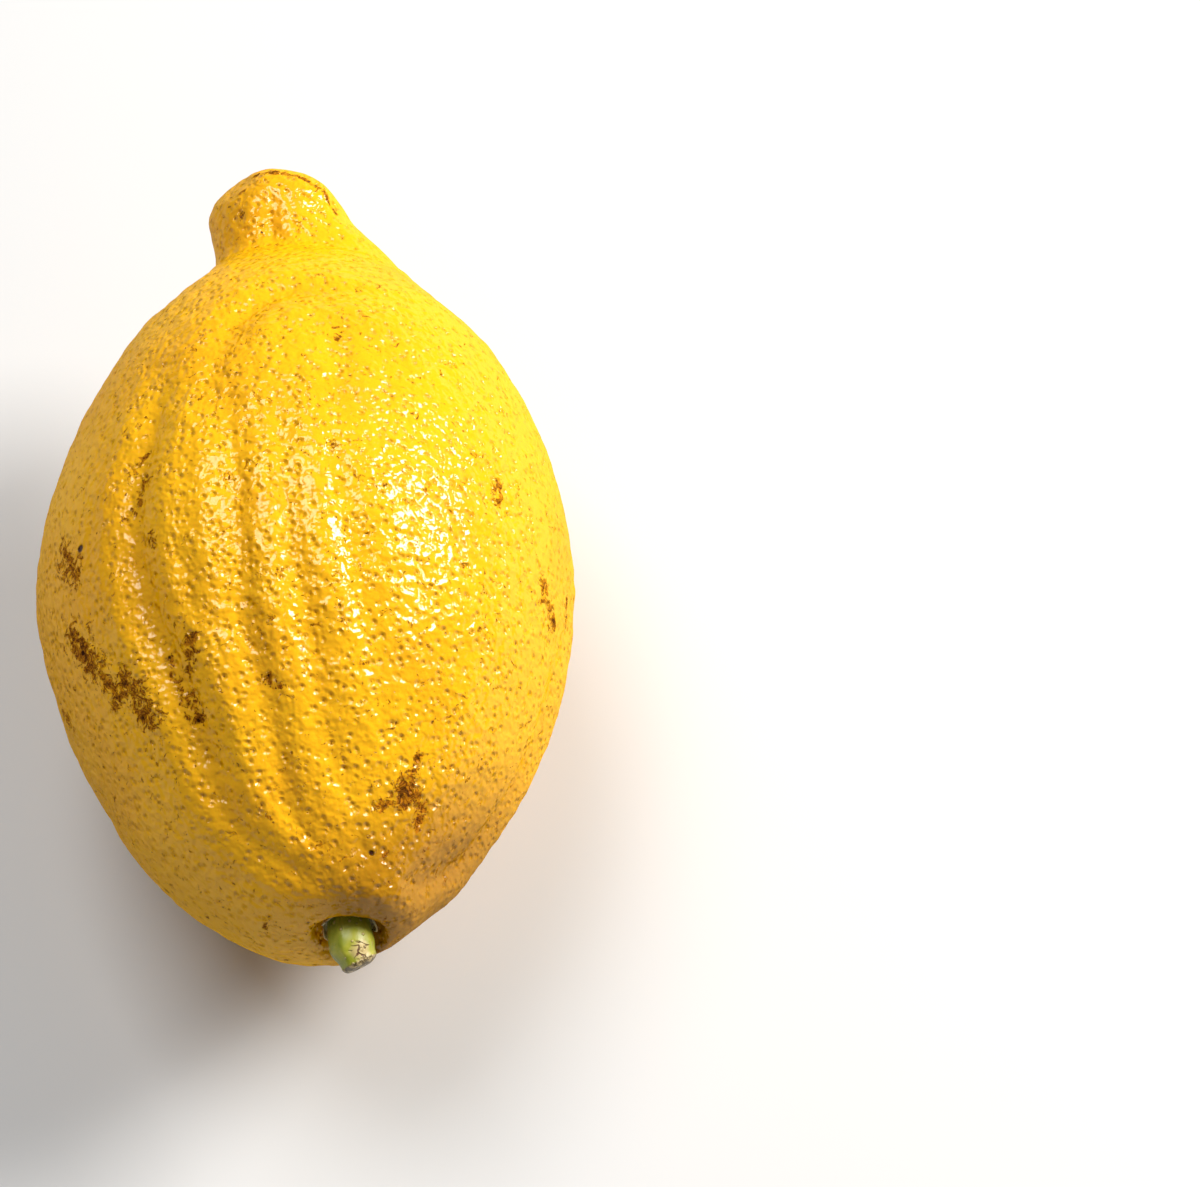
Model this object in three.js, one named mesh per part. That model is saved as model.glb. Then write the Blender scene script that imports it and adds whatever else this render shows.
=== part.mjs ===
// A citron, picked and lying on its side: the fruit, its calyx and a cut stub of stem.
// Millimetres, +Z up. The fruit's long axis runs along Y, with the nipple towards +Y and
// the stem towards -Y. The origin is the middle of the small flat that the fruit lies on.
import * as THREE from 'three';
import { mergeVertices } from 'three/addons/utils/BufferGeometryUtils.js';

// ---- driving dimensions ----
const HALF_WIDTH = 37.3; // the body's widest radius
const HALF_LENGTH = 51.5; // half of the body, from the stem end's shoulder to the neck
const NIPPLE_RADIUS = 9.3;
const NIPPLE_LENGTH = 14;
const DIMPLE_RADIUS = 4.6;
const DIMPLE_DEPTH = 3.6;
const STEM_RADIUS = 2.8;
const STEM_LENGTH = 5.7;
const CLEARANCE = 0.3; // gap kept between two pieces that touch
const PRESSED_FLAT = 1.2; // how far the underside is pressed in where the fruit lies
const WELD = 1e-3; // vertices closer than this are one vertex

// ---- how finely the curves are measured ----
const OUTLINE_DIVISIONS = 2000;
const CENTRE_LINE_SAMPLES = 400;
const STEPS_PER_STRETCH = 4; // straight steps between two points of a furrow's path

// The axis lies this far above the ground, and the flat's middle is this far along it.
const REST_HEIGHT = HALF_WIDTH - PRESSED_FLAT;
const REST_STATION = 2;

const degrees = THREE.MathUtils.degToRad;

// ---- the fruit's outline ----
// The outline is a curve of (station, radius): the station runs along the axis and the
// radius is the distance from it. It starts on the floor of the dimple that holds the
// stem and ends in the shallow pit on the tip of the nipple.
function outlineCurve() {
  const floor = -HALF_LENGTH + DIMPLE_DEPTH;
  const dimple = [
    [floor - 0.1, 0],
    [floor - 0.2, 0.64 * DIMPLE_RADIUS],
    [floor - 0.36 * DIMPLE_DEPTH, 0.9 * DIMPLE_RADIUS],
    [floor - 0.8 * DIMPLE_DEPTH, DIMPLE_RADIUS],
    [floor - 1.03 * DIMPLE_DEPTH, 1.27 * DIMPLE_RADIUS],
  ];
  const body = [
    [-0.979, 0.279],
    [-0.905, 0.397],
    [-0.781, 0.552],
    [-0.621, 0.702],
    [-0.427, 0.85],
    [-0.194, 0.96],
    [0.039, 1],
    [0.272, 0.962],
    [0.505, 0.863],
    [0.699, 0.718],
    [0.835, 0.547],
    [0.932, 0.381],
    [0.99, 0.284],
  ].map(([along, out]) => [along * HALF_LENGTH, out * HALF_WIDTH]);
  const nipple = [
    [0.25, 1.01],
    [0.61, 1],
    [0.84, 0.85],
    [0.97, 0.58],
    [0.985, 0.36],
    [0.93, 0.18],
    [0.9, 0],
  ].map(([along, out]) => [HALF_LENGTH + along * NIPPLE_LENGTH, out * NIPPLE_RADIUS]);
  const points = [...dimple, ...body, ...nipple];
  const curve = new THREE.SplineCurve(points.map((point) => new THREE.Vector2(...point)));
  curve.arcLengthDivisions = OUTLINE_DIVISIONS;
  return curve;
}

// The fruit's centre line as (sideways, station, up): both ends rise a little, and the
// nipple leans to the left.
function centreLine() {
  const curve = new THREE.CatmullRomCurve3([
    new THREE.Vector3(2.6, -50, 4),
    new THREE.Vector3(1.9, -36, 2.4),
    new THREE.Vector3(1, -20, 0.8),
    new THREE.Vector3(0.2, 0, 0),
    new THREE.Vector3(0.1, 20, 0.6),
    new THREE.Vector3(-0.2, 36, 2),
    new THREE.Vector3(-1.8, 47, 3.8),
    new THREE.Vector3(-5.2, 55, 5.6),
    new THREE.Vector3(-6.6, 66, 6.6),
  ], false, 'catmullrom', 0.5);
  const samples = curve.getPoints(CENTRE_LINE_SAMPLES);
  return (station) => {
    const next = samples.findIndex((sample) => sample.y > station);
    if (next === 0) return samples[0];
    if (next < 0) return samples.at(-1);
    const before = samples[next - 1];
    const share = (station - before.y) / (samples[next].y - before.y);
    return before.clone().lerp(samples[next], share);
  };
}

// Broad swellings and hollows: where each is (station, angle round the axis), how far it
// spreads along (mm) and round (degrees), and how far it stands out.
const SWELLINGS = [
  { station: 52, angle: 2, along: 5.6, round: 45, height: 5.4 }, // shoulder beside the nipple
  { station: 50, angle: 165, along: 4, round: 42, height: 0.9 }, // neck's left side
  { station: 50, angle: 90, along: 4, round: 40, height: -0.6 }, // neck's upper side
  { station: 59, angle: 190, along: 6, round: 60, height: 1.3 }, // nipple's fuller side
  { station: 63, angle: 135, along: 4, round: 32, height: -1.6 }, // nipple's sloping shoulder
  { station: 61, angle: 45, along: 3, round: 25, height: 0.6 }, // knob on the nipple's rim
  { station: -46, angle: 200, along: 8, round: 50, height: 1.6 }, // full cheek at the stem
  { station: -50, angle: -25, along: 5.5, round: 45, height: -2.4 }, // lean cheek at the stem
  { station: -49, angle: -80, along: 6, round: 50, height: -2.2 }, // under the stem
];

// Furrows in the rind: each is a curve through the given [station, angle, depth], and a
// negative depth is a ridge. The reach is how far its crease spreads to each side.
const FURROWS = [
  { reach: 1.7, path: [[24, 121, 0], [12, 120, 0.9], [0, 122, 1.2], [-12, 121, 1.4], [-22, 117, 1.4],
    [-33, 114, 1.3], [-43, 112, 0.9], [-52, 100, 0]] },
  { reach: 1.7, path: [[-4, 138, 0], [-16, 128, -0.3], [-26, 123.5, -0.4], [-37, 121, -0.3],
    [-47, 114, 0]] },
  { reach: 1.6, path: [[20, 105, 0], [6, 100, 0.8], [-5, 98.5, 0.9], [-17, 98, 1], [-27, 94, 1.1],
    [-37, 91.5, 0.9], [-42, 90, 0.6], [-47, 85, 0]] },
  { reach: 1.6, path: [[18, 94, 0], [5, 90, 0.7], [-8, 88, 0.8], [-20, 83.5, 1], [-29, 81, 0.8],
    [-34, 76, 0.6], [-39, 68, 0]] },
  { reach: 1.6, path: [[12, 84, 0], [2, 78.5, 0.5], [-9, 75, 0.6], [-18, 71, 0.5], [-27, 65, 0]] },
  { reach: 1.4, path: [[30, 82, 0], [22, 80, 0.5], [14, 79.5, 0.4], [8, 80, 0]] },
  { reach: 1.2, path: [[-4, 112, 0], [-10, 111, 0.4], [-17, 109.5, 0]] },
  { reach: 1.8, path: [[-4, 10, 0], [-15, 10, 0.8], [-24, 6, 1.1], [-35, 4, 1.4], [-41, 12, 1.4],
    [-46, 30, 0.9], [-49, 46, 0]] },
  { reach: 1, path: [[-41, 72, 0], [-44, 67, 0.4], [-47, 61, 0]] },
  // the crease round the neck
  { reach: 1.7, path: [[12, 109, 0], [20, 107, 0.5], [27, 105, 1], [31, 101, 1.3], [34, 93, 1.3],
    [35, 80, 1], [34.5, 66, 0.4], [33, 54, 0]] },
  // the dent in the nipple
  { reach: 1.1, path: [[59, 84, 0], [56, 93, 0.6], [53, 101, 0.7], [49, 112, 0]] },
  // the left cheek, the back and the underside
  { reach: 1.8, path: [[16, 205, 0], [0, 208, 0.9], [-18, 205, 1.2], [-34, 198, 1], [-46, 190, 0]] },
  { reach: 1.8, path: [[24, 172, 0], [10, 176, 0.7], [-6, 178, 0.8], [-22, 174, 0]] },
  { reach: 1.8, path: [[12, 320, 0], [-6, 316, 0.9], [-24, 318, 1.1], [-38, 326, 0.8], [-47, 334, 0]] },
  { reach: 1.7, path: [[34, 226, 0], [22, 234, 0.7], [8, 238, 0]] },
  { reach: 1.7, path: [[38, 300, 0], [28, 308, 0.8], [12, 312, 0]] },
];
// A furrow's section: a crease on the floor of a wider valley, with a low bank beside it.
const SECTION = { crease: 0.6, valley: 0.4, valleyReach: 2.3, bank: 0.25, bankAt: 3, bankReach: 1.2 };

const wrap = (angle) => Math.atan2(Math.sin(angle), Math.cos(angle));

function swellingAt(station, angle) {
  let height = 0;
  for (const swelling of SWELLINGS) {
    const along = (station - swelling.station) / swelling.along;
    const round = wrap(angle - degrees(swelling.angle)) / degrees(swelling.round);
    height += swelling.height * Math.exp(-(along ** 2) - round ** 2);
  }
  return height;
}

// The furrow's curve as short straight steps of (station, angle, depth).
function furrowSteps({ reach, path }) {
  const points = path.map(([station, angle, depth]) => new THREE.Vector3(station, degrees(angle), depth));
  const curve = new THREE.CatmullRomCurve3(points, false, 'catmullrom', 0.5);
  return { reach, steps: curve.getPoints(STEPS_PER_STRETCH * (path.length - 1)) };
}

// Depth of a furrow at a place, from the distance over the skin to the curve's nearest point.
function furrowAt({ reach, steps }, station, angle, radius) {
  let nearest = Infinity;
  let depth = 0;
  for (let i = 1; i < steps.length; i += 1) {
    const start = steps[i - 1];
    const end = steps[i];
    const from = new THREE.Vector2(station - start.x, wrap(angle - start.y) * radius);
    const stretch = new THREE.Vector2(end.x - start.x, (end.y - start.y) * radius);
    const share = THREE.MathUtils.clamp(from.dot(stretch) / stretch.lengthSq(), 0, 1);
    const distance = from.distanceTo(stretch.multiplyScalar(share));
    if (distance < nearest) {
      nearest = distance;
      depth = THREE.MathUtils.lerp(start.z, end.z, share);
    }
  }
  const away = nearest / reach;
  const crease = SECTION.crease * Math.exp(-(away ** 2));
  const valley = SECTION.valley * Math.exp(-((away / SECTION.valleyReach) ** 2));
  const bank = SECTION.bank * Math.exp(-(((away - SECTION.bankAt) / SECTION.bankReach) ** 2));
  return depth * (crease + valley - bank);
}

// The stem end is drawn up and to the right, so the dimple faces up a little. The pull is
// full within the radius 'fullAt' and gone beyond 'goneAt'.
const STEM_END = { right: 5.8, up: 4.6, sink: 0.9, faceRight: 0.06, faceUp: 0.22, fullAt: 7, goneAt: 24 };

const outline = outlineCurve();
const centreAt = centreLine();
const furrows = FURROWS.map(furrowSteps);

// A point of the fruit's skin: 'along' runs 0..1 over the outline's length, 'angle' is
// measured round the axis from +X towards +Z.
function skinPoint(along, angle) {
  const { x: station, y: radius } = outline.getPointAt(along);
  let relief = swellingAt(station, angle);
  for (const furrow of furrows) relief -= furrowAt(furrow, station, angle, radius);
  // The dimple and the pit on the nipple stay round, so the relief dies away inside them.
  const out = radius + relief * THREE.MathUtils.smoothstep(radius, DIMPLE_RADIUS, NIPPLE_RADIUS);
  const atStem = station < 0 ? 1 - THREE.MathUtils.smoothstep(radius, STEM_END.fullAt, STEM_END.goneAt) : 0;
  const centre = centreAt(station);
  const right = out * Math.cos(angle);
  const up = out * Math.sin(angle);
  const tilt = STEM_END.sink + STEM_END.faceRight * right + STEM_END.faceUp * up;
  return new THREE.Vector3(
    right + centre.x + atStem * STEM_END.right,
    station + atStem * tilt,
    up + centre.z + atStem * STEM_END.up,
  ).add(new THREE.Vector3(0, -REST_STATION, REST_HEIGHT));
}

// Joins the vertices at a seam, so that the surface is closed, and shades it again.
function weld(geometry) {
  geometry.deleteAttribute('uv');
  geometry.deleteAttribute('normal');
  const welded = mergeVertices(geometry, WELD);
  welded.computeVertexNormals();
  return welded;
}

const FRUIT_SIDES = 76;
const FRUIT_RINGS = 60;
const END_CROWDING = 0.1; // how much closer together the rings are at both ends

function fruitGeometry() {
  const geometry = new THREE.SphereGeometry(1, FRUIT_SIDES, FRUIT_RINGS);
  const position = geometry.getAttribute('position');
  for (let i = 0; i < position.count; i += 1) {
    const share = 1 - Math.acos(THREE.MathUtils.clamp(position.getY(i), -1, 1)) / Math.PI;
    const along = THREE.MathUtils.clamp(share - END_CROWDING * Math.sin(2 * Math.PI * share), 0, 1);
    const point = skinPoint(along, Math.atan2(position.getZ(i), position.getX(i)));
    point.z = Math.max(point.z, 0);
    position.setXYZ(i, point.x, point.y, point.z);
  }
  return weld(geometry);
}

// ---- the calyx ----
// A shallow dish with five lobes round the foot of the stem. It is made round +Z, with its
// underside at zero, and then turned to face out of the dimple.
const CALYX_SIDES = 40;
const CALYX = {
  lobes: 5,
  radius: DIMPLE_RADIUS - 3 * CLEARANCE,
  thickness: 0.7,
  lobeRise: 1.1,
  notchDepth: 0.45, // share of the height lost between two lobes
  notchIn: 0.08, // share of the radius lost there
};

function calyxGeometry() {
  const foot = STEM_RADIUS + 2 * CLEARANCE;
  const section = [
    [0, 0],
    [0.6 * CALYX.radius, 0],
    [0.86 * CALYX.radius, 0.5 * CALYX.lobeRise],
    [CALYX.radius, CALYX.thickness + CALYX.lobeRise],
    [0.94 * CALYX.radius, CALYX.thickness + CALYX.lobeRise],
    [foot, CALYX.thickness + 0.1 * CALYX.lobeRise],
    [foot - CLEARANCE, CALYX.thickness],
    [0, CALYX.thickness],
  ].map(([radius, height]) => new THREE.Vector2(radius, height));
  const geometry = new THREE.LatheGeometry(section, CALYX_SIDES);
  geometry.rotateX(Math.PI / 2);
  const position = geometry.getAttribute('position');
  for (let i = 0; i < position.count; i += 1) {
    const angle = Math.atan2(position.getY(i), position.getX(i));
    const radius = Math.hypot(position.getX(i), position.getY(i));
    const atLobe = THREE.MathUtils.smoothstep(radius, foot - CLEARANCE, CALYX.radius);
    const notch = atLobe * (0.5 - 0.5 * Math.cos(CALYX.lobes * angle));
    const inward = 1 - CALYX.notchIn * notch;
    const height = position.getZ(i) * (1 - CALYX.notchDepth * notch);
    position.setXYZ(i, position.getX(i) * inward, position.getY(i) * inward, height);
  }
  return weld(geometry);
}

// ---- the stem ----
// A stub that leans to the right and droops as it leaves the calyx. It is a little wider
// near its end, which was cut aslant and has a rounded edge.
const STEM = {
  lean: 0.9,
  droop: 1.6,
  bendAt: 0.4,
  flare: 0.45,
  roundedFrom: 0.72,
  rounding: 0.16,
  cutSlope: 0.3,
  sides: 28,
  rings: 10,
};

function stemGeometry(base, outward) {
  const end = base.clone().addScaledVector(outward, STEM_LENGTH);
  end.x += STEM.lean;
  end.z -= STEM.droop;
  const bend = base.clone().addScaledVector(outward, STEM.bendAt * STEM_LENGTH);
  const path = new THREE.QuadraticBezierCurve3(base, bend, end);
  const geometry = new THREE.CylinderGeometry(1, 1, 1, STEM.sides, STEM.rings);
  const position = geometry.getAttribute('position');
  for (let i = 0; i < position.count; i += 1) {
    const share = position.getY(i) + 0.5;
    const rounded = 1 - STEM.rounding * THREE.MathUtils.smoothstep(share, STEM.roundedFrom, 1) ** 2;
    const radius = (STEM_RADIUS + STEM.flare * share) * rounded;
    const tangent = path.getTangent(share);
    const upward = new THREE.Vector3(0, 0, 1).addScaledVector(tangent, -tangent.z).normalize();
    const across = new THREE.Vector3().crossVectors(upward, tangent);
    const toTheRight = -position.getX(i) * radius;
    const point = path.getPoint(share)
      .addScaledVector(across, toTheRight)
      .addScaledVector(upward, position.getZ(i) * radius)
      .addScaledVector(tangent, -share * STEM.cutSlope * toTheRight);
    position.setXYZ(i, point.x, point.y, point.z);
  }
  return weld(geometry);
}

// ---- the materials ----
const rind = new THREE.MeshStandardMaterial({ color: 0xf2bc1e, roughness: 0.42, metalness: 0 });
const dryGreen = new THREE.MeshStandardMaterial({ color: 0x9aa06a, roughness: 0.7, metalness: 0 });
const stemGreen = new THREE.MeshStandardMaterial({ color: 0x7d9a2c, roughness: 0.5, metalness: 0 });

function namedMesh(name, geometry, material) {
  const mesh = new THREE.Mesh(geometry, material);
  mesh.name = name;
  return mesh;
}

// ---- the whole citron ----
const dimpleFloor = skinPoint(0, 0);
const outward = new THREE.Vector3(STEM_END.faceRight, -1, STEM_END.faceUp).normalize();
const calyxFoot = dimpleFloor.clone().addScaledVector(outward, CLEARANCE);
const stemFoot = calyxFoot.clone().addScaledVector(outward, CALYX.thickness + CLEARANCE);

const citron = new THREE.Group();
citron.add(namedMesh('fruit', fruitGeometry(), rind));

const calyx = namedMesh('calyx', calyxGeometry(), dryGreen);
calyx.position.copy(calyxFoot);
calyx.quaternion.setFromUnitVectors(new THREE.Vector3(0, 0, 1), outward);
citron.add(calyx);

citron.add(namedMesh('stem', stemGeometry(stemFoot, outward), stemGreen));

export default citron;
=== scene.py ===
from math import cos, pi, radians, sin

import bpy
import numpy as np
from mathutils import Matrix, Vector, noise


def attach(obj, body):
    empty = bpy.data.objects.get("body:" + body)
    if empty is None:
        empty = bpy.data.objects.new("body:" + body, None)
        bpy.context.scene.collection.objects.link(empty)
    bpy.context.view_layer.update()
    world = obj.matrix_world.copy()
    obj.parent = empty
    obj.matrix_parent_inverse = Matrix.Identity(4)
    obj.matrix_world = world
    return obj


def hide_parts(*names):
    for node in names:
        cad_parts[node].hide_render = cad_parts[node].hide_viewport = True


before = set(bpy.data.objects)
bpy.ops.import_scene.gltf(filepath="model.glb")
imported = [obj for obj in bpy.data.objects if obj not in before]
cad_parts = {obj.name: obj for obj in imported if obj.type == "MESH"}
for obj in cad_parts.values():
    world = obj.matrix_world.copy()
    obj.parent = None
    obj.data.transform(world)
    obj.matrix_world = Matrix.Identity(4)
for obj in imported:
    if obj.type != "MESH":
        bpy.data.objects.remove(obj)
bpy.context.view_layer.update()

MM = 0.001


# ---- the whole citron in its setting ----
# The fruit lies on a pale floor under soft light. The camera looks down on it from the
# stem end, 65 degrees above the floor, with the fruit to the left of the view.
BODY_MIDDLE = Vector((0, -2 * MM, 36.1 * MM))
LOOK_DOWN = radians(65)
CAMERA_DISTANCE = 394 * MM
CAMERA_RIGHT = 40.8 * MM
CAMERA_UP = 2.3 * MM

towards_camera = Vector((0, -cos(LOOK_DOWN), sin(LOOK_DOWN)))
camera_up = Vector((0, sin(LOOK_DOWN), cos(LOOK_DOWN)))
camera_data = bpy.data.cameras.new("camera")
camera_data.lens = 85
camera_data.sensor_width = 36
camera_data.clip_start = 0.01
camera = bpy.data.objects.new("camera", camera_data)
camera.location = BODY_MIDDLE + towards_camera * CAMERA_DISTANCE
camera.location += Vector((CAMERA_RIGHT, 0, 0)) + camera_up * CAMERA_UP
camera.rotation_euler = (pi / 2 - LOOK_DOWN, 0, 0)
bpy.context.collection.objects.link(camera)
bpy.context.scene.camera = camera


def set_inputs(node, **values):
    """Sets a node's sockets by name; an underscore stands for a space."""
    for name, value in values.items():
        node.inputs[name.replace("_", " ")].default_value = value


def new_material(name):
    """A material with nodes, its node tree and its Principled shader."""
    material = bpy.data.materials.new(name)
    material.use_nodes = True
    return material, material.node_tree, material.node_tree.nodes["Principled BSDF"]


FLOOR_SIZE = 6
FLOOR_GREY = (0.67, 0.67, 0.665, 1)
FLOOR_PALE = (0.71, 0.71, 0.705, 1)


def floor_material():
    material, tree, shader = new_material("pale floor")
    grain = tree.nodes.new("ShaderNodeTexNoise")
    set_inputs(grain, Scale=40.0, Detail=3.0)
    tint = tree.nodes.new("ShaderNodeValToRGB")
    tint.color_ramp.elements[0].color = FLOOR_GREY
    tint.color_ramp.elements[1].color = FLOOR_PALE
    tree.links.new(grain.outputs["Fac"], tint.inputs["Fac"])
    tree.links.new(tint.outputs["Color"], shader.inputs["Base Color"])
    set_inputs(shader, Roughness=0.7)
    return material


bpy.ops.mesh.primitive_plane_add(size=FLOOR_SIZE)
floor = bpy.context.object
floor.name = "floor"
floor.data.materials.append(floor_material())


def soft_light(name, direction, distance, size, power, colour):
    """A square lamp that faces the fruit from the given direction."""
    data = bpy.data.lights.new(name, "AREA")
    data.size = size
    data.energy = power
    data.color = colour
    lamp = bpy.data.objects.new(name, data)
    lamp.location = BODY_MIDDLE + Vector(direction).normalized() * distance
    lamp.rotation_euler = Vector(direction).to_track_quat("Z", "Y").to_euler()
    bpy.context.collection.objects.link(lamp)


soft_light(
    "key light",
    direction=(0.76, 0.36, 0.63),
    distance=0.9,
    size=0.34,
    power=10.8,
    colour=(1.0, 0.975, 0.94),
)
soft_light(
    "fill light",
    direction=(-0.2, 0.3, 0.9),
    distance=1.2,
    size=0.6,
    power=8.0,
    colour=(1.0, 1.0, 1.0),
)

world = bpy.data.worlds.new("studio")
world.use_nodes = True
set_inputs(world.node_tree.nodes["Background"], Color=(0.95, 0.97, 1, 1), Strength=0.18)
bpy.context.scene.world = world
bpy.context.scene.view_settings.view_transform = "Standard"


# ---- fruit ----
# The whole fruit with its thick, soft, waxy rind: one closed skin, with long furrows, a
# blunt nipple at the far end and a dimple for the stem. It grew as one piece.

# Sizes are in mm and angles in degrees. A place on the skin is a station along the axis,
# which grows towards the nipple, and an angle from the right-hand side over the top.
HALF_WIDTH = 37.3
HALF_LENGTH = 51.5
NIPPLE_RADIUS = 9.3
NIPPLE_LENGTH = 14
DIMPLE_RADIUS = 4.6
DIMPLE_DEPTH = 3.6
REST_HEIGHT = 36.1
REST_STATION = 2
RINGS = 250
SEGMENTS = 360

# Broad swellings: (station, angle, reach along, reach round, height) in mm and degrees.
SWELLINGS = [
    (52, 2, 5.6, 45, 5.4),
    (50, 165, 4, 42, 0.9),
    (50, 90, 4, 40, -0.6),
    (59, 190, 6, 60, 1.3),
    (63, 135, 4, 32, -1.6),
    (61, 45, 3, 25, 0.6),
    (-46, 200, 8, 50, 1.6),
    (-50, -25, 5.5, 45, -2.4),
    (-49, -80, 6, 50, -2.2),
]
# Furrows: each is a reach and a curve through (station, angle, depth). A negative depth
# is a ridge. The last five are on the sides that face away.
FURROWS = [
    (1.7, [(24, 121, 0), (12, 120, 0.9), (0, 122, 1.2), (-12, 121, 1.4), (-22, 117, 1.4),
           (-33, 114, 1.3), (-43, 112, 0.9), (-52, 100, 0)]),
    (1.7, [(-4, 138, 0), (-16, 128, -0.3), (-26, 123.5, -0.4), (-37, 121, -0.3), (-47, 114, 0)]),
    (1.6, [(20, 105, 0), (6, 100, 0.8), (-5, 98.5, 0.9), (-17, 98, 1), (-27, 94, 1.1),
           (-37, 91.5, 0.9), (-42, 90, 0.6), (-47, 85, 0)]),
    (1.6, [(18, 94, 0), (5, 90, 0.7), (-8, 88, 0.8), (-20, 83.5, 1), (-29, 81, 0.8),
           (-34, 76, 0.6), (-39, 68, 0)]),
    (1.6, [(12, 84, 0), (2, 78.5, 0.5), (-9, 75, 0.6), (-18, 71, 0.5), (-27, 65, 0)]),
    (1.4, [(30, 82, 0), (22, 80, 0.5), (14, 79.5, 0.4), (8, 80, 0)]),
    (1.2, [(-4, 112, 0), (-10, 111, 0.4), (-17, 109.5, 0)]),
    (1.0, [(-41, 72, 0), (-44, 67, 0.4), (-47, 61, 0)]),
    (1.7, [(12, 109, 0), (20, 107, 0.5), (27, 105, 1), (31, 101, 1.3), (34, 93, 1.3),
           (35, 80, 1), (34.5, 66, 0.4), (33, 54, 0)]),
    (1.1, [(59, 84, 0), (56, 93, 0.6), (53, 101, 0.7), (49, 112, 0)]),
    (1.8, [(-4, 10, 0), (-15, 10, 0.8), (-24, 6, 1.1), (-35, 4, 1.4), (-41, 12, 1.4),
           (-46, 30, 0.9), (-49, 46, 0)]),
    (1.8, [(16, 205, 0), (0, 208, 0.9), (-18, 205, 1.2), (-34, 198, 1), (-46, 190, 0)]),
    (1.8, [(24, 172, 0), (10, 176, 0.7), (-6, 178, 0.8), (-22, 174, 0)]),
    (1.8, [(12, 320, 0), (-6, 316, 0.9), (-24, 318, 1.1), (-38, 326, 0.8), (-47, 334, 0)]),
    (1.7, [(34, 226, 0), (22, 234, 0.7), (8, 238, 0)]),
    (1.7, [(38, 300, 0), (28, 308, 0.8), (12, 312, 0)]),
]
# Across a furrow: shares of its depth, and distances as shares of its reach.
CREASE = 0.6
VALLEY = 0.4
VALLEY_REACH = 2.3
BANK = 0.25
BANK_AT = 3
BANK_REACH = 1.2


def spline(points, steps, ends):
    """Points along a Catmull-Rom curve; ends are the two extra points past its ends."""
    knots = np.array([ends[0], *points, ends[1]], float)
    share = np.linspace(0, 1, steps, endpoint=False)[:, None]
    stretches = []
    for a, b, c, d in zip(knots, knots[1:], knots[2:], knots[3:]):
        leave = (c - a) / 2
        arrive = (d - b) / 2
        cubic = 2 * b - 2 * c + leave + arrive
        square = -3 * b + 3 * c - 2 * leave - arrive
        stretches.append(cubic * share**3 + square * share**2 + leave * share + b)
    return np.concatenate([*stretches, knots[-2:-1]])


def open_spline(points, steps):
    """A Catmull-Rom curve that runs straight on past its ends."""
    table = np.array(points, float)
    return spline(points, steps, (2 * table[0] - table[1], 2 * table[-1] - table[-2]))


def fruit_outline():
    """The outline as (station, radius), from the dimple's floor to the pit on the nipple."""
    floor_at = -HALF_LENGTH + DIMPLE_DEPTH
    dimple = [
        (floor_at - 0.1, 0),
        (floor_at - 0.2, 0.64 * DIMPLE_RADIUS),
        (floor_at - 0.36 * DIMPLE_DEPTH, 0.9 * DIMPLE_RADIUS),
        (floor_at - 0.8 * DIMPLE_DEPTH, DIMPLE_RADIUS),
        (floor_at - 1.03 * DIMPLE_DEPTH, 1.27 * DIMPLE_RADIUS),
    ]
    body = [(-0.979, 0.279), (-0.905, 0.397), (-0.781, 0.552), (-0.621, 0.702), (-0.427, 0.85)]
    body += [(-0.194, 0.96), (0.039, 1), (0.272, 0.962), (0.505, 0.863), (0.699, 0.718)]
    body += [(0.835, 0.547), (0.932, 0.381), (0.99, 0.284)]
    nipple = [(0.25, 1.01), (0.61, 1), (0.84, 0.85), (0.97, 0.58)]
    nipple += [(0.985, 0.36), (0.93, 0.18), (0.9, 0)]
    points = list(dimple)
    points += [(along * HALF_LENGTH, out * HALF_WIDTH) for along, out in body]
    points += [(HALF_LENGTH + along * NIPPLE_LENGTH, out * NIPPLE_RADIUS) for along, out in nipple]
    return spline(points, 60, (points[0], points[-1]))


# The centre line as (station, right, up): both ends rise, and the nipple leans left.
CENTRE_LINE = [
    (-50, 2.6, 4),
    (-36, 1.9, 2.4),
    (-20, 1, 0.8),
    (0, 0.2, 0),
    (20, 0.1, 0.6),
    (36, -0.2, 2),
    (47, -1.8, 3.8),
    (55, -5.2, 5.6),
    (66, -6.6, 6.6),
]


# The stem end is drawn to the right and up, so that the dimple faces up a little. The
# pull is full where the radius is under one bound and gone where it is over the other.
PULL_RIGHT = 5.8
PULL_UP = 4.6
PULL_IN = 0.9
PULL_FULL_AT = 7
PULL_GONE_AT = 24
FACES_RIGHT = 0.06
FACES_UP = 0.22


def ease(share):
    """A share from 0 to 1 that starts and stops gently."""
    share = np.clip(share, 0, 1)
    return share * share * (3 - 2 * share)


def wrap(angle):
    """The same angle, within half a turn of zero."""
    return (angle + pi) % (2 * pi) - pi


def distance_to_path(path, station, angle, radius):
    """Distance over the skin to a path of (station, angle, value), and the value there."""
    nearest = np.full(station.shape, np.inf)
    value = np.zeros(station.shape)
    for (s0, a0, v0), (s1, a1, v1) in zip(path, path[1:]):
        along = station - s0
        round_ = wrap(angle - radians(a0)) * radius
        step_round = radians(a1 - a0) * radius
        share = along * (s1 - s0) + round_ * step_round
        share = np.clip(share / ((s1 - s0) ** 2 + step_round**2 + 1e-9), 0, 1)
        distance = np.hypot(along - share * (s1 - s0), round_ - share * step_round)
        closer = distance < nearest
        nearest = np.where(closer, distance, nearest)
        value = np.where(closer, v0 + (v1 - v0) * share, value)
    return nearest, value


outline = fruit_outline()
centre = open_spline(CENTRE_LINE, 40)
outline_length = np.concatenate([[0], np.cumsum(np.hypot(*np.diff(outline, axis=0).T))])
outline_share = outline_length / outline_length[-1]


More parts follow.
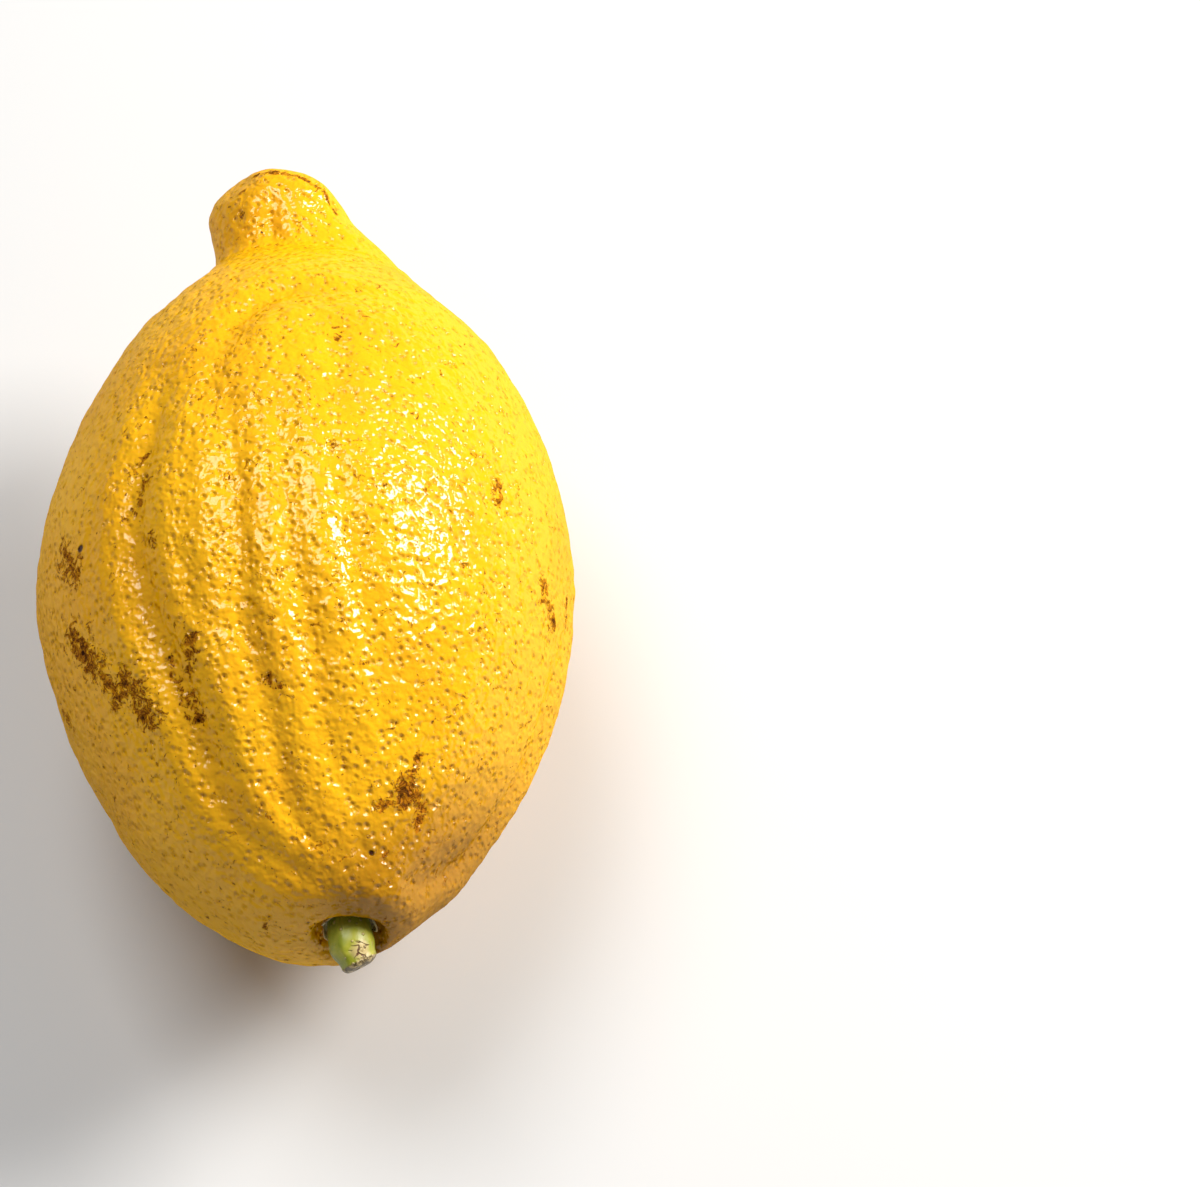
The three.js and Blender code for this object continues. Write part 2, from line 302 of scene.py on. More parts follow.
def station_and_radius(along):
    """Station and radius at a share of the outline's length."""
    station = np.interp(along, outline_share, outline[:, 0])
    return station, np.interp(along, outline_share, outline[:, 1])


def furrow_relief(station, angle, radius):
    """How deep the furrows are: each is a crease in a wider valley, with a bank beside it."""
    depth = np.zeros(station.shape)
    for reach, path in FURROWS:
        distance, deepest = distance_to_path(open_spline(path, 4), station, angle, radius)
        away = distance / reach
        section = CREASE * np.exp(-(away**2)) + VALLEY * np.exp(-((away / VALLEY_REACH) ** 2))
        depth += deepest * (section - BANK * np.exp(-(((away - BANK_AT) / BANK_REACH) ** 2)))
    return depth


def skin_points(along, angle):
    """Points of the skin in mm, and how deep the furrows are there."""
    station, radius = station_and_radius(along)
    swell = np.zeros(station.shape)
    for middle, facing, reach, spread, height in SWELLINGS:
        far_along = (station - middle) / reach
        far_round = wrap(angle - radians(facing)) / radians(spread)
        swell += height * np.exp(-(far_along**2) - far_round**2)
    furrow = furrow_relief(station, angle, radius)
    free = ease((radius - DIMPLE_RADIUS) / (NIPPLE_RADIUS - DIMPLE_RADIUS))
    out = radius + (swell - furrow) * free
    at_stem = 1 - ease((radius - PULL_FULL_AT) / (PULL_GONE_AT - PULL_FULL_AT))
    at_stem = at_stem * (station < 0)
    right = out * np.cos(angle)
    up = out * np.sin(angle)
    x = right + np.interp(station, centre[:, 0], centre[:, 1]) + PULL_RIGHT * at_stem
    y = station + at_stem * (PULL_IN + FACES_RIGHT * right + FACES_UP * up)
    z = up + np.interp(station, centre[:, 0], centre[:, 2]) + PULL_UP * at_stem
    points = np.stack([x, y - REST_STATION, z + REST_HEIGHT], -1)
    return points, furrow * free


def ringed_mesh(name, points, rings, segments):
    """A closed skin over rings of points, with the last two points as its two ends."""
    first = np.arange(segments)
    after = (first + 1) % segments
    faces = []
    for ring in range(rings - 1):
        low = ring * segments
        high = low + segments
        faces += np.stack([low + first, high + first, high + after, low + after], -1).tolist()
    start = rings * segments
    last = (rings - 1) * segments
    faces += [(start, a, b) for a, b in zip(first.tolist(), after.tolist())]
    faces += [(start + 1, last + b, last + a) for a, b in zip(first.tolist(), after.tolist())]
    mesh = bpy.data.meshes.new(name)
    mesh.from_pydata((points * MM).tolist(), [], faces)
    mesh.update()
    mesh.shade_smooth()
    return mesh


# The rind's soft unevenness, as (closeness, height) from broad to small, all of it sunk.
LUMPS = [(0.16, 0.16), (0.34, 0.13), (0.62, 0.1)]
LUMPS_SUNK = -0.2
LUMPS_FADE = 1.5


def lumps(point):
    """Height in mm, from 0 down to about -0.5, of the rind's soft unevenness."""
    return LUMPS_SUNK + sum(height * noise.noise(point * close) for close, height in LUMPS)


ring_along = np.linspace(0, 1, RINGS + 1)[1:-1]
ring_angle = np.linspace(0, 2 * pi, SEGMENTS, endpoint=False) - pi / 2
along_grid, angle_grid = np.meshgrid(ring_along, ring_angle, indexing="ij")
skin_along = np.concatenate([along_grid.ravel(), [0, 1]])
skin_angle = np.concatenate([angle_grid.ravel(), [0, 0]])
skin_place, skin_furrow = skin_points(skin_along, skin_angle)
skin_place[:, 2] = np.maximum(skin_place[:, 2], 0)
skin_mesh = ringed_mesh("fruit_skin", skin_place, RINGS - 1, SEGMENTS)

skin_normal = np.array([vertex.normal for vertex in skin_mesh.vertices])
skin_lump = np.array([lumps(Vector(point)) for point in skin_place])
skin_lump *= ease(skin_place[:, 2] / LUMPS_FADE)
skin_place += skin_normal * skin_lump[:, None]
skin_mesh.vertices.foreach_set("co", (skin_place * MM).ravel())
skin_mesh.update()

fruit = bpy.data.objects.new("fruit_skin", skin_mesh)
bpy.context.collection.objects.link(fruit)

# The skin unrolled, with its seam on the underside.
vertex_of_corner = np.zeros(len(skin_mesh.loops), int)
skin_mesh.loops.foreach_get("vertex_index", vertex_of_corner)
corner_turn = ((skin_angle[vertex_of_corner] + pi / 2) / (2 * pi)) % 1
corners_of_face = [len(face.vertices) for face in skin_mesh.polygons]
face_of_corner = np.repeat(np.arange(len(skin_mesh.polygons)), corners_of_face)
past_the_seam = np.zeros(len(skin_mesh.polygons), bool)
np.logical_or.at(past_the_seam, face_of_corner, corner_turn > 0.9)
corner_turn += past_the_seam[face_of_corner] & (corner_turn < 0.1)
unrolled = skin_mesh.uv_layers.new(name="OFBake")
corner_along = skin_along[vertex_of_corner]
unrolled.data.foreach_set("uv", np.stack([corner_turn, corner_along], -1).ravel())


def add_attribute(mesh, name, values):
    """Stores one number for each vertex, for the materials to read."""
    layer = mesh.attributes.new(name, "FLOAT", "POINT")
    layer.data.foreach_set("value", np.asarray(values, np.float32))


# Scars: each is a half width, a strength and a line of (station, angle). Those from
# (-8, 228) on are on the sides that face away, and round the pit on the nipple's tip.
SCARS = [
    (0.5, 1.0, [(1.0, 145.5), (-1.6, 145.5)]),
    (2.2, 1.0, [(-3.0, 143.5), (-4.8, 141.0)]),
    (2.3, 1.0, [(-13.6, 146), (-16.5, 142.5), (-18.0, 140.5)]),
    (1.8, 0.8, [(-18.0, 140.5), (-20.5, 138), (-23.0, 136.5)]),
    (2.3, 0.95, [(-21.6, 131.5), (-24.0, 128.5), (-26.5, 127.5)]),
    (1.3, 0.85, [(-18.4, 111), (-20.4, 112), (-21.6, 113.5)]),
    (0.6, 0.75, [(-19.6, 118.5), (-22.4, 118), (-24.5, 116.5)]),
    (1.4, 0.9, [(-24.6, 115.5), (-27.1, 114.5)]),
    (0.9, 0.85, [(-23.8, 94), (-25.0, 91.5)]),
    (1.3, 0.8, [(-19.2, 166), (-21.2, 163.5)]),
    (0.9, 0.85, [(-30.6, 52.3), (-33.5, 52.5), (-35.1, 53)]),
    (2.0, 1.0, [(-35.0, 54), (-36.2, 53)]),
    (1.0, 0.85, [(-36.0, 56.5), (-37.8, 60.5)]),
    (1.0, 0.85, [(-35.4, 50), (-36.5, 46), (-39.2, 44.5)]),
    (0.6, 0.8, [(8.4, 120.5), (6.7, 122.5), (4.2, 124)]),
    (0.6, 0.75, [(4.5, 120), (1.6, 122), (-1.2, 124.5)]),
    (0.9, 0.9, [(-4.2, 118.4), (-5.4, 118)]),
    (1.2, 0.85, [(7.0, 42.3), (4.0, 43)]),
    (1.3, 0.9, [(-3.6, 25.5), (-5.8, 25.5)]),
    (1.2, 1.0, [(-6.2, 21.5), (-7.6, 19)]),
    (0.8, 0.9, [(-2.4, 12.5), (-5.2, 11)]),
    (0.7, 0.7, [(24.9, 79.5), (24.3, 79)]),
    (0.4, 1.0, [(62.9, 112), (62.8, 95), (62.6, 73), (62.0, 64), (61.0, 56), (60.2, 45), (57.1, 37)]),
    (0.5, 0.8, [(59.8, 124.5), (60.6, 119)]),
    (1.5, 0.9, [(-8.0, 228), (-11.5, 232)]),
    (1.0, 0.8, [(14.0, 196), (11.0, 198)]),
    (1.3, 0.8, [(20.0, 308), (16.5, 311)]),
    (1.8, 0.95, [(-22.0, 332), (-25.5, 336)]),
    (1.1, 0.8, [(-30.0, 250), (-33.0, 246)]),
    (0.9, 0.8, [(38.0, 205), (36.5, 208)]),
    (0.5, 0.8, [(64.9, 0), (64.9, 120), (64.9, 240), (64.9, 360)]),
    (0.5, 0.8, [(64.1, 200), (64.1, 206)]),
]
# Black specks: (station, angle, radius).
SPECKS = [
    (-2.6, 138, 0.55),
    (-23.4, 94.0, 0.24),
    (49.1, 114.5, 0.26),
    (52.8, 108.5, 0.2),
    (-44.8, 63.5, 0.34),
    (-26.3, 129.5, 0.36),
    (-15.8, 143.3, 0.36),
    (-19.6, 118.5, 0.26),
    (-22.4, 118.0, 0.26),
    (-27.6, 114.8, 0.3),
]


def scar_strength(station, angle, radius):
    """How strongly each point of the skin is scarred, from 0 to 1."""
    scarred = np.zeros(station.shape)
    for half_width, strength, line in SCARS:
        path = [(*place, 0) for place in line]
        distance, _ = distance_to_path(path, station, angle, radius)
        scarred = np.maximum(scarred, strength * np.exp(-((distance / half_width) ** 2)))
    return scarred


# The skin turns ochre towards the stem; the same mask reaches farther up the fruit on its right as
# painted shade.
OCHRE_AND_SHADE_AMOUNT = 0.95
OCHRE_AND_SHADE_FROM = -39.5
SHADE_FARTHER_ON_RIGHT = 17
OCHRE_AND_SHADE_SPREAD = 16

skin_station, skin_radius = station_and_radius(skin_along)
past_ochre_and_shade_line = OCHRE_AND_SHADE_FROM - skin_station + SHADE_FARTHER_ON_RIGHT * np.cos(skin_angle)
add_attribute(skin_mesh, "furrow", skin_furrow)
add_attribute(skin_mesh, "ochre_and_shade", OCHRE_AND_SHADE_AMOUNT * ease(past_ochre_and_shade_line / OCHRE_AND_SHADE_SPREAD))
add_attribute(skin_mesh, "scar", scar_strength(skin_station, skin_angle, skin_radius))


def link(tree, source, target):
    tree.links.new(source, target)


def smooth_step(tree, value, low, high, out_low=0.0, out_high=1.0):
    """A soft ramp of a value, as a socket."""
    node = tree.nodes.new("ShaderNodeMapRange")
    node.interpolation_type = "SMOOTHSTEP"
    link(tree, value, node.inputs["Value"])
    set_inputs(node, From_Min=low, From_Max=high, To_Min=out_low, To_Max=out_high)
    return node.outputs["Result"]


def combine(tree, operation, first, second):
    """Arithmetic on two sockets or numbers, as a socket."""
    node = tree.nodes.new("ShaderNodeMath")
    node.operation = operation
    for slot, value in enumerate((first, second)):
        if isinstance(value, (int, float)):
            node.inputs[slot].default_value = value
        else:
            link(tree, value, node.inputs[slot])
    return node.outputs["Value"]


def blend_colour(tree, factor, under, over):
    """The over colour laid on the under one by a factor, as a socket."""
    node = tree.nodes.new("ShaderNodeMix")
    node.data_type = "RGBA"
    link(tree, factor, node.inputs["Factor"])
    for name, value in (("A", under), ("B", over)):
        socket = next(i for i in node.inputs if i.name == name and i.type == "RGBA")
        if isinstance(value, tuple):
            socket.default_value = (*value, 1)
        else:
            link(tree, value, socket)
    return next(o for o in node.outputs if o.type == "RGBA")


def texture(tree, kind, vector, **values):
    """A texture node of the given kind, read at the given coordinates."""
    node = tree.nodes.new("ShaderNodeTex" + kind)
    link(tree, vector, node.inputs["Vector"])
    set_inputs(node, **values)
    return node


def noise_value(tree, vector, **values):
    return texture(tree, "Noise", vector, **values).outputs["Fac"]


def warped(tree, vector, scale, amount):
    """The coordinates pushed about by noise."""
    push = tree.nodes.new("ShaderNodeVectorMath")
    push.operation = "MULTIPLY_ADD"
    swirl = texture(tree, "Noise", vector, Scale=scale, Detail=2.0)
    link(tree, swirl.outputs["Color"], push.inputs[0])
    push.inputs[1].default_value = (amount, amount, amount)
    link(tree, vector, push.inputs[2])
    return push.outputs["Vector"]


def attribute(tree, name):
    node = tree.nodes.new("ShaderNodeAttribute")
    node.attribute_name = name
    return node.outputs["Fac"]


def add_bump(tree, shader, height, distance):
    """Fine relief from a height socket, on the surface and on its coat."""
    bump = tree.nodes.new("ShaderNodeBump")
    set_inputs(bump, Strength=1.0, Distance=distance)
    link(tree, height, bump.inputs["Height"])
    link(tree, bump.outputs["Normal"], shader.inputs["Normal"])
    link(tree, bump.outputs["Normal"], shader.inputs["Coat Normal"])


def strands(tree, vector, **values):
    """Thin wandering lines: 1 on a line and 0 away from it."""
    height = noise_value(tree, vector, **values)
    away = combine(tree, "ABSOLUTE", combine(tree, "SUBTRACT", height, 0.5), 0.0)
    return smooth_step(tree, away, 0.01, 0.06, 1.0, 0.0)


# RIND_DEEP_AND_SHADED also colours the painted shade in the furrows' valleys; RIND_OCHRE_AND_SHADE
# colours the ochre near the stem and the painted shade on the right and in the valleys.
RIND_YELLOW = (0.90, 0.45, 0.005)
RIND_DEEP_AND_SHADED = (0.86, 0.405, 0.005)
RIND_OCHRE_AND_SHADE = (0.42, 0.185, 0.003)
PIT_ORANGE = (0.66, 0.25, 0.004)
PIT_BROWN = (0.17, 0.05, 0.004)
SCAR_TAN = (0.42, 0.13, 0.007)
SCAR_BROWN = (0.17, 0.042, 0.004)
SCAR_DARK = (0.05, 0.012, 0.003)
PIT_SCALE = 800
RIPPLE_SCALE = 720
RIND_RELIEF = 0.27
PIT_DEPTH = 0.9
DOT_DEPTH = 0.25
RIPPLE_HEIGHT = 1.7
SPECK_DEPTH = 1.2
FIBRE_DEPTH = 0.5
WAX_WEIGHT = 0.15
WAX_ON_SCARS = 0.015


def rind_material():
    material, tree, shader = new_material("rind")
    place = tree.nodes.new("ShaderNodeTexCoord").outputs["Object"]
    bent = warped(tree, place, 900.0, 0.3 * MM)

    # The oil pits: a hollow round each, and a dot in its middle that is dark on a few.
    pits = texture(tree, "Voronoi", bent, Scale=PIT_SCALE, Randomness=1.0)
    far_from_pit = pits.outputs["Distance"]
    chance = tree.nodes.new("ShaderNodeSeparateColor")
    link(tree, pits.outputs["Color"], chance.inputs["Color"])
    hollow = smooth_step(tree, far_from_pit, 0.0, 0.5, 1.0, 0.0)
    dot = smooth_step(tree, far_from_pit, 0.08, 0.18, 1.0, 0.0)
    dark = smooth_step(tree, chance.outputs["Red"], 0.8, 1.0)

    # The skin's colour: deeper in random patches and ochre towards the stem, with painted shade in
    # the furrows' valleys and farther up on the right.
    patches = noise_value(tree, place, Scale=55.0, Detail=3.0)
    # Painted shade: the furrows' valleys are coloured deeper and more ochre.
    valley_shade = smooth_step(tree, attribute(tree, "furrow"), 0.1, 1.6, 0.0, 0.3)
    deep_patches_and_valley_shade = combine(tree, "MAXIMUM", smooth_step(tree, patches, 0.42, 0.66), valley_shade)
    colour = blend_colour(tree, deep_patches_and_valley_shade, RIND_YELLOW, RIND_DEEP_AND_SHADED)
    ochre_and_shade = combine(tree, "ADD", attribute(tree, "ochre_and_shade"), combine(tree, "MULTIPLY", valley_shade, 0.2))
    colour = blend_colour(tree, ochre_and_shade, colour, RIND_OCHRE_AND_SHADE)
    colour = blend_colour(tree, combine(tree, "MULTIPLY", hollow, 0.25), colour, PIT_ORANGE)
    dot_amount = combine(tree, "MULTIPLY", dot, smooth_step(tree, dark, 0.0, 1.0, 0.08, 0.65))
    colour = blend_colour(tree, dot_amount, colour, PIT_BROWN)

    # The scars: ragged brown patches of fine fibres, darkest where they are thickest.
    raggedness = noise_value(tree, place, Scale=800.0, Detail=4.0, Roughness=0.7, Distortion=0.8)
    scarred = combine(tree, "MULTIPLY", combine(tree, "SUBTRACT", raggedness, 0.48), 4.0)
    scarred = combine(tree, "ADD", attribute(tree, "scar"), scarred)
    fibre = strands(tree, place, Scale=900.0, Detail=2.0, Distortion=2.2)
    fibre = combine(tree, "MULTIPLY", fibre, smooth_step(tree, scarred, 0.45, 0.8))
    core = combine(tree, "MULTIPLY", smooth_step(tree, scarred, 1.1, 1.45), 0.75)
    colour = blend_colour(tree, smooth_step(tree, scarred, 0.45, 1.0, 0.0, 0.85), colour, SCAR_TAN)
    colour = blend_colour(tree, combine(tree, "MULTIPLY", fibre, 0.9), colour, SCAR_BROWN)
    colour = blend_colour(tree, core, colour, SCAR_DARK)
    rough_scar = smooth_step(tree, scarred, 0.5, 1.0)

    # The specks: small dark holes with soft edges.
    speck_station, speck_angle, speck_size = np.array(SPECKS).T
    past_dimple = outline_share > 0.1
    speck_along = np.interp(speck_station, outline[past_dimple, 0], outline_share[past_dimple])
    speck_points, _ = skin_points(speck_along, np.radians(speck_angle))
    specks = 0.0
    for point, size in zip(speck_points * MM, speck_size * MM):
        reach = tree.nodes.new("ShaderNodeVectorMath")
        reach.operation = "DISTANCE"
        link(tree, bent, reach.inputs[0])
        reach.inputs[1].default_value = point + 0.15 * MM
        spot = smooth_step(tree, reach.outputs["Value"], 0.7 * size, 1.3 * size, 1.0, 0.0)
        specks = combine(tree, "MAXIMUM", spot, specks)
    colour = blend_colour(tree, specks, colour, SCAR_DARK)
    link(tree, colour, shader.inputs["Base Color"])

    # Under the wax, gloss that varies a little and is dull on the scars.
    gloss = smooth_step(tree, noise_value(tree, place, Scale=260.0), 0.35, 0.7, 0.24, 0.36)
    gloss = combine(tree, "MAXIMUM", gloss, smooth_step(tree, rough_scar, 0.0, 0.6, 0.0, 0.5))
    link(tree, gloss, shader.inputs["Roughness"])

    # Fine relief: soft ripples, with the pits, specks and fibres sunk in them.
    ripple = noise_value(tree, place, Scale=RIPPLE_SCALE, Detail=1.2, Roughness=0.5, Distortion=0.2)
    height = combine(tree, "MULTIPLY", ripple, RIPPLE_HEIGHT)
    sunk = ((hollow, PIT_DEPTH), (dot, DOT_DEPTH), (specks, SPECK_DEPTH), (fibre, FIBRE_DEPTH))
    for shape, depth in sunk:
        height = combine(tree, "SUBTRACT", height, combine(tree, "MULTIPLY", shape, depth))
    add_bump(tree, shader, height, RIND_RELIEF * MM)

    set_inputs(shader, Subsurface_Weight=0.12, Subsurface_Radius=(1.0, 0.45, 0.08))
    set_inputs(shader, Subsurface_Scale=1.2 * MM, Specular_IOR_Level=0.0)
    set_inputs(shader, Coat_Roughness=0.1, Coat_IOR=3.0)
    wax = smooth_step(tree, rough_scar, 0.0, 0.5, WAX_WEIGHT, WAX_ON_SCARS)
    link(tree, wax, shader.inputs["Coat Weight"])
    return material


skin_mesh.materials.append(rind_material())
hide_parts("fruit")
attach(fruit, "root")


# ---- calyx ----
# The dried remains of the flower's cup: a thin grey-green dish with five curled lobes, on
# the floor of the dimple. It grew there round the foot of the stem.
CLEARANCE = 0.3
STEM_RADIUS = 2.8
CALYX_LOBES = 5
CALYX_RADIUS = DIMPLE_RADIUS - 3 * CLEARANCE
CALYX_THICKNESS = 0.7
LOBE_RISE = 1.5
NOTCH_IN = 0.1
NOTCH_DOWN = 0.5
LOBE_RAGGEDNESS = 0.25
CALYX_SEGMENTS = 160
CALYX_GREEN = (0.66, 0.60, 0.34)
CALYX_TAN = (0.62, 0.42, 0.16)
CALYX_BROWN = (0.09, 0.045, 0.02)

# The dimple's own directions: out of it, to its right and up across it.
outward = Vector((FACES_RIGHT, -1, FACES_UP)).normalized()
rightward = (Vector((1, 0, 0)) - outward * outward.x).normalized()
upward = rightward.cross(outward)
dimple_floor = Vector(skin_points(np.array([0.0]), np.array([0.0]))[0][0])
calyx_foot = dimple_floor + outward * CLEARANCE


def calyx_section():
    """The dish's section as (radius, height), from under its middle round to its top."""
    foot = STEM_RADIUS + 2 * CLEARANCE
    points = [
        (0.3, 0),
        (0.6 * CALYX_RADIUS, 0),
        (0.86 * CALYX_RADIUS, 0.5 * LOBE_RISE),
        (CALYX_RADIUS, 0.92 * (CALYX_THICKNESS + LOBE_RISE)),
        (0.97 * CALYX_RADIUS, CALYX_THICKNESS + LOBE_RISE),
        (0.93 * CALYX_RADIUS, 0.9 * (CALYX_THICKNESS + LOBE_RISE)),
        (foot, CALYX_THICKNESS + 0.1 * LOBE_RISE),
        (foot - CLEARANCE, CALYX_THICKNESS),
        (0.3, CALYX_THICKNESS),
    ]
    return open_spline(points, 5)


def calyx_mesh():
    foot = STEM_RADIUS + CLEARANCE
    section = calyx_section()
    turn = -np.linspace(0, 2 * pi, CALYX_SEGMENTS, endpoint=False)
    radius, angle = np.meshgrid(section[:, 0], turn, indexing="ij")
    height = np.repeat(section[:, 1:], CALYX_SEGMENTS, axis=1)
    at_lobe = ease((radius - foot) / (CALYX_RADIUS - foot))
    notch = at_lobe * (0.5 - 0.5 * np.cos(CALYX_LOBES * angle)) ** 2
    ragged = [noise.noise(Vector((3 * cos(a), 3 * sin(a), 0))) for a in turn]
    notch = notch + at_lobe * LOBE_RAGGEDNESS * np.clip(ragged, 0, 1)
    radius = radius * (1 - NOTCH_IN * notch)
    height = height * (1 - NOTCH_DOWN * notch)
    across = np.stack([radius * np.cos(angle), radius * np.sin(angle), height], -1).reshape(-1, 3)
    across = np.concatenate([across, [(0, 0, 0), (0, 0, CALYX_THICKNESS)]])
    points = across @ np.array([rightward, upward, outward]) + np.array(calyx_foot)
    return ringed_mesh("calyx_cup", points, len(section), CALYX_SEGMENTS), across


def calyx_material():
    material, tree, shader = new_material("dry calyx")
    place = tree.nodes.new("ShaderNodeTexCoord").outputs["Object"]
    mottle = noise_value(tree, place, Scale=900.0, Detail=4.0)
    edge = smooth_step(tree, attribute(tree, "edge"), 0.6, 1.0)
    tan_amount = combine(tree, "MULTIPLY", edge, smooth_step(tree, mottle, 0.4, 0.6))
    colour = blend_colour(tree, tan_amount, CALYX_GREEN, CALYX_TAN)
    stain = noise_value(tree, place, Scale=1500.0, Detail=3.0)
    colour = blend_colour(tree, smooth_step(tree, stain, 0.52, 0.66), colour, CALYX_BROWN)
    link(tree, colour, shader.inputs["Base Color"])
    link(tree, smooth_step(tree, mottle, 0.3, 0.7, 0.5, 0.8), shader.inputs["Roughness"])
    add_bump(tree, shader, mottle, 0.25 * MM)
    return material


cup_mesh, cup_across = calyx_mesh()
add_attribute(cup_mesh, "edge", np.hypot(cup_across[:, 0], cup_across[:, 1]) / CALYX_RADIUS)
cup_mesh.materials.append(calyx_material())
calyx = bpy.data.objects.new("calyx_cup", cup_mesh)
bpy.context.collection.objects.link(calyx)
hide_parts("calyx")
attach(calyx, "root")


# ---- stem ----
# The stub of green twig that the fruit hung from: smooth bark with pale breathing pores, a
# corky scab near the end, and an aslant cut with a rounded edge. It grows from the calyx.
STEM_LENGTH = 5.7
STEM_LEAN = 0.9
STEM_DROOP = 1.6
STEM_BEND_AT = 0.4
STEM_FLARE = 0.45
CUT_SLOPE = 0.16
CUT_DOME = 0.75
ROUNDED_FROM = 0.45
ROUNDING = 0.14
ROUNDING_ON_RIGHT = 0.2
BROAD_FOLDS = 0.05
FINE_FOLDS = 0.03
KNOBS = 0.07
SHRUNK = 0.08
SCAB_AT = 0.78
SCAB_OFF_MIDDLE = Vector((1.3, -0.7, 2.6))
STEM_RINGS = 60
STEM_SEGMENTS = 144
END_RINGS = 12
# The bark's dark and green colours are painted shade on the stem's left and painted light on its
# right, as well as its darker and lighter streaks.
BARK_GREEN_AND_LIT = (0.31, 0.33, 0.014)
BARK_DARK_AND_SHADED = (0.25, 0.28, 0.016)
BARK_YELLOW = (0.42, 0.40, 0.035)
CORK_BEIGE = (0.58, 0.43, 0.19)
CRACK_BROWN = (0.15, 0.06, 0.02)
WOOD_DARK = (0.13, 0.085, 0.02)

stem_foot = calyx_foot + outward * (CALYX_THICKNESS + 0.2 * CLEARANCE)


def stem_bend(share):
    """A place on the stem's middle line, and the way the line runs there."""
    end = stem_foot + outward * STEM_LENGTH + Vector((STEM_LEAN, 0, -STEM_DROOP))
    bend = stem_foot + outward * (STEM_BEND_AT * STEM_LENGTH)
    place = stem_foot * (1 - share) ** 2 + bend * (2 * share * (1 - share)) + end * share**2
    run = (bend - stem_foot) * (1 - share) + (end - bend) * share
    return place, run.normalized()


def stem_ring(share, size, sunk):
    """One ring of points; size is its share of the full radius, sunk its depth in the cut."""
    middle, run = stem_bend(share)
    above = (Vector((0, 0, 1)) - run * run.z).normalized()
    across = above.cross(run)
    near_end = float(ease((share - ROUNDED_FROM) / (1 - ROUNDED_FROM))) ** 2
    ring = []
    for turn in np.linspace(0, 2 * pi, STEM_SEGMENTS, endpoint=False):
        fold = BROAD_FOLDS * cos(5 * turn + 0.6) + FINE_FOLDS * cos(9 * turn + 1.7 + share)
        knob = KNOBS * noise.noise(Vector((3 * cos(turn), 3 * sin(turn), 4 * share)))
        rounded = 1 - near_end * (ROUNDING + ROUNDING_ON_RIGHT * max(0, cos(turn)))
        radius = (STEM_RADIUS + STEM_FLARE * share) * rounded * size
        radius += (fold + knob - SHRUNK) * size
        to_the_right = -cos(turn) * radius
        point = middle + across * to_the_right + above * (sin(turn) * radius)
        point += run * (-share * CUT_SLOPE * to_the_right - sunk)
        ring.append(point)
    return ring


def stem_mesh():
    rings = [stem_ring(share, 1.0, 0.0) for share in np.linspace(0, 1, STEM_RINGS)]
    along = [share for share in np.linspace(0, 1, STEM_RINGS) for _ in range(STEM_SEGMENTS)]
    for step in range(1, END_RINGS):
        inward = step / END_RINGS
        sunk = 0.12 * noise.noise(Vector((5 * inward, 0, 0)))
        sunk -= CUT_DOME * (1 - (1 - inward) ** 3) ** 0.5
        rings.append(stem_ring(1.0, 1 - inward, sunk))
        along += [1 + inward] * STEM_SEGMENTS
    foot, _ = stem_bend(0)
    end, run = stem_bend(1)
    points = [point for ring in rings for point in ring] + [foot, end + run * CUT_DOME]
    mesh = ringed_mesh("stem_stub", np.array(points), len(rings), STEM_SEGMENTS)
    add_attribute(mesh, "along", along + [0, 2])
    return mesh


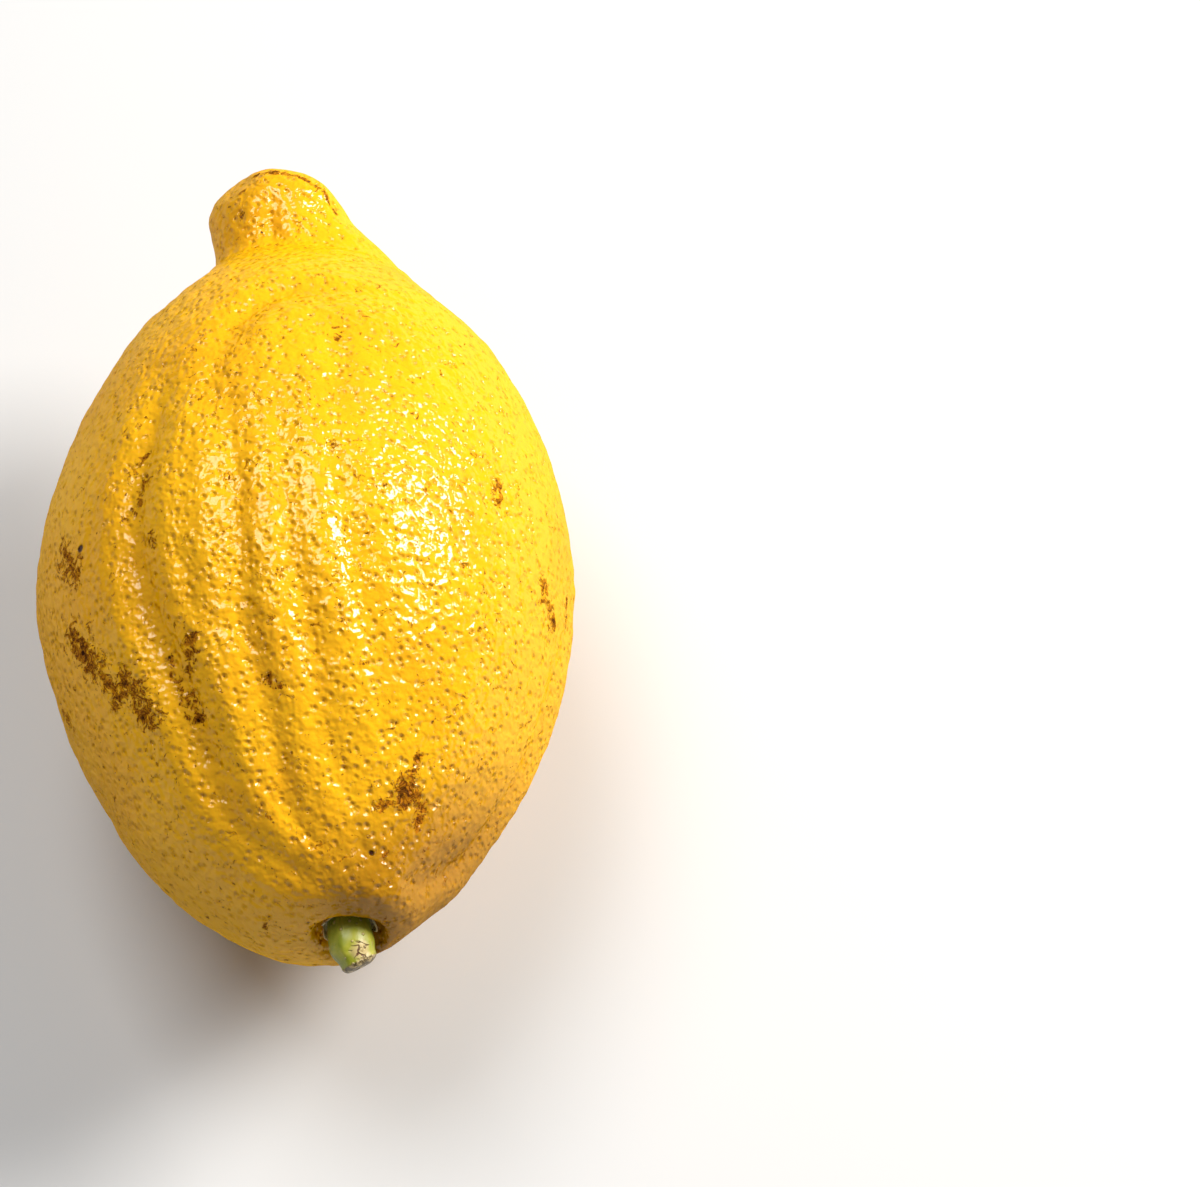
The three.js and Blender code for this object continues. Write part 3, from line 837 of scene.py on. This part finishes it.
def bark_material():
    material, tree, shader = new_material("green bark")
    place = tree.nodes.new("ShaderNodeTexCoord").outputs["Object"]
    along = attribute(tree, "along")
    axes = tree.nodes.new("ShaderNodeSeparateXYZ")
    link(tree, place, axes.inputs["Vector"])
    middle, _ = stem_bend(0.6)
    to_right = combine(tree, "SUBTRACT", axes.outputs["X"], middle.x * MM)
    to_right = combine(tree, "MULTIPLY", to_right, 350.0)

    # Bark: painted shade on the left and painted light on the right, broken by darker and lighter
    # streaks, and streaked with yellow near the end.
    streaks = noise_value(tree, place, Scale=420.0, Detail=4.0, Distortion=0.4)
    light = combine(tree, "ADD", to_right, combine(tree, "MULTIPLY", streaks, 1.6))
    colour = blend_colour(tree, smooth_step(tree, light, 0.0, 0.9), BARK_DARK_AND_SHADED, BARK_GREEN_AND_LIT)
    ripe = smooth_step(tree, along, 0.15, 0.7)
    ripe = combine(tree, "MULTIPLY", ripe, smooth_step(tree, streaks, 0.4, 0.62))
    colour = blend_colour(tree, ripe, colour, BARK_YELLOW)

    # The corky scab on top, with cracks in it, and pale pores all over.
    scab_middle, _ = stem_bend(SCAB_AT)
    scab_point = (scab_middle + SCAB_OFF_MIDDLE) * MM
    reach = tree.nodes.new("ShaderNodeVectorMath")
    reach.operation = "DISTANCE"
    link(tree, warped(tree, place, 700.0, 1.6 * MM), reach.inputs[0])
    reach.inputs[1].default_value = scab_point + Vector((0.8, 0.8, 0.8)) * MM
    scab = smooth_step(tree, reach.outputs["Value"], 0.7 * MM, 1.9 * MM, 1.0, 0.0)
    colour = blend_colour(tree, combine(tree, "MULTIPLY", scab, 0.85), colour, CORK_BEIGE)
    cracks = strands(tree, place, Scale=600.0, Detail=2.0, Distortion=0.8)
    colour = blend_colour(tree, combine(tree, "MULTIPLY", cracks, scab), colour, CRACK_BROWN)

    pores = texture(tree, "Voronoi", place, Scale=900.0, Randomness=1.0).outputs["Distance"]
    pore = smooth_step(tree, pores, 0.12, 0.24, 1.0, 0.0)
    colour = blend_colour(tree, combine(tree, "MULTIPLY", pore, 0.7), colour, CORK_BEIGE)

    # The cut end: dry wood with dark grain.
    grain = noise_value(tree, place, Scale=1500.0, Detail=3.0)
    cut_face = smooth_step(tree, along, 0.97, 1.03)
    wood = blend_colour(tree, smooth_step(tree, grain, 0.48, 0.62), WOOD_DARK, CORK_BEIGE)
    colour = blend_colour(tree, cut_face, colour, wood)
    link(tree, colour, shader.inputs["Base Color"])
    link(tree, smooth_step(tree, streaks, 0.3, 0.7, 0.3, 0.5), shader.inputs["Roughness"])

    height = combine(tree, "MULTIPLY", streaks, 0.8)
    height = combine(tree, "ADD", height, combine(tree, "MULTIPLY", pore, 0.5))
    height = combine(tree, "SUBTRACT", height, combine(tree, "MULTIPLY", cracks, scab))
    height = combine(tree, "ADD", height, combine(tree, "MULTIPLY", grain, cut_face))
    add_bump(tree, shader, height, 0.22 * MM)
    return material


stub_mesh = stem_mesh()
stub_mesh.materials.append(bark_material())
stem = bpy.data.objects.new("stem_stub", stub_mesh)
bpy.context.collection.objects.link(stem)
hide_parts("stem")
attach(stem, "root")
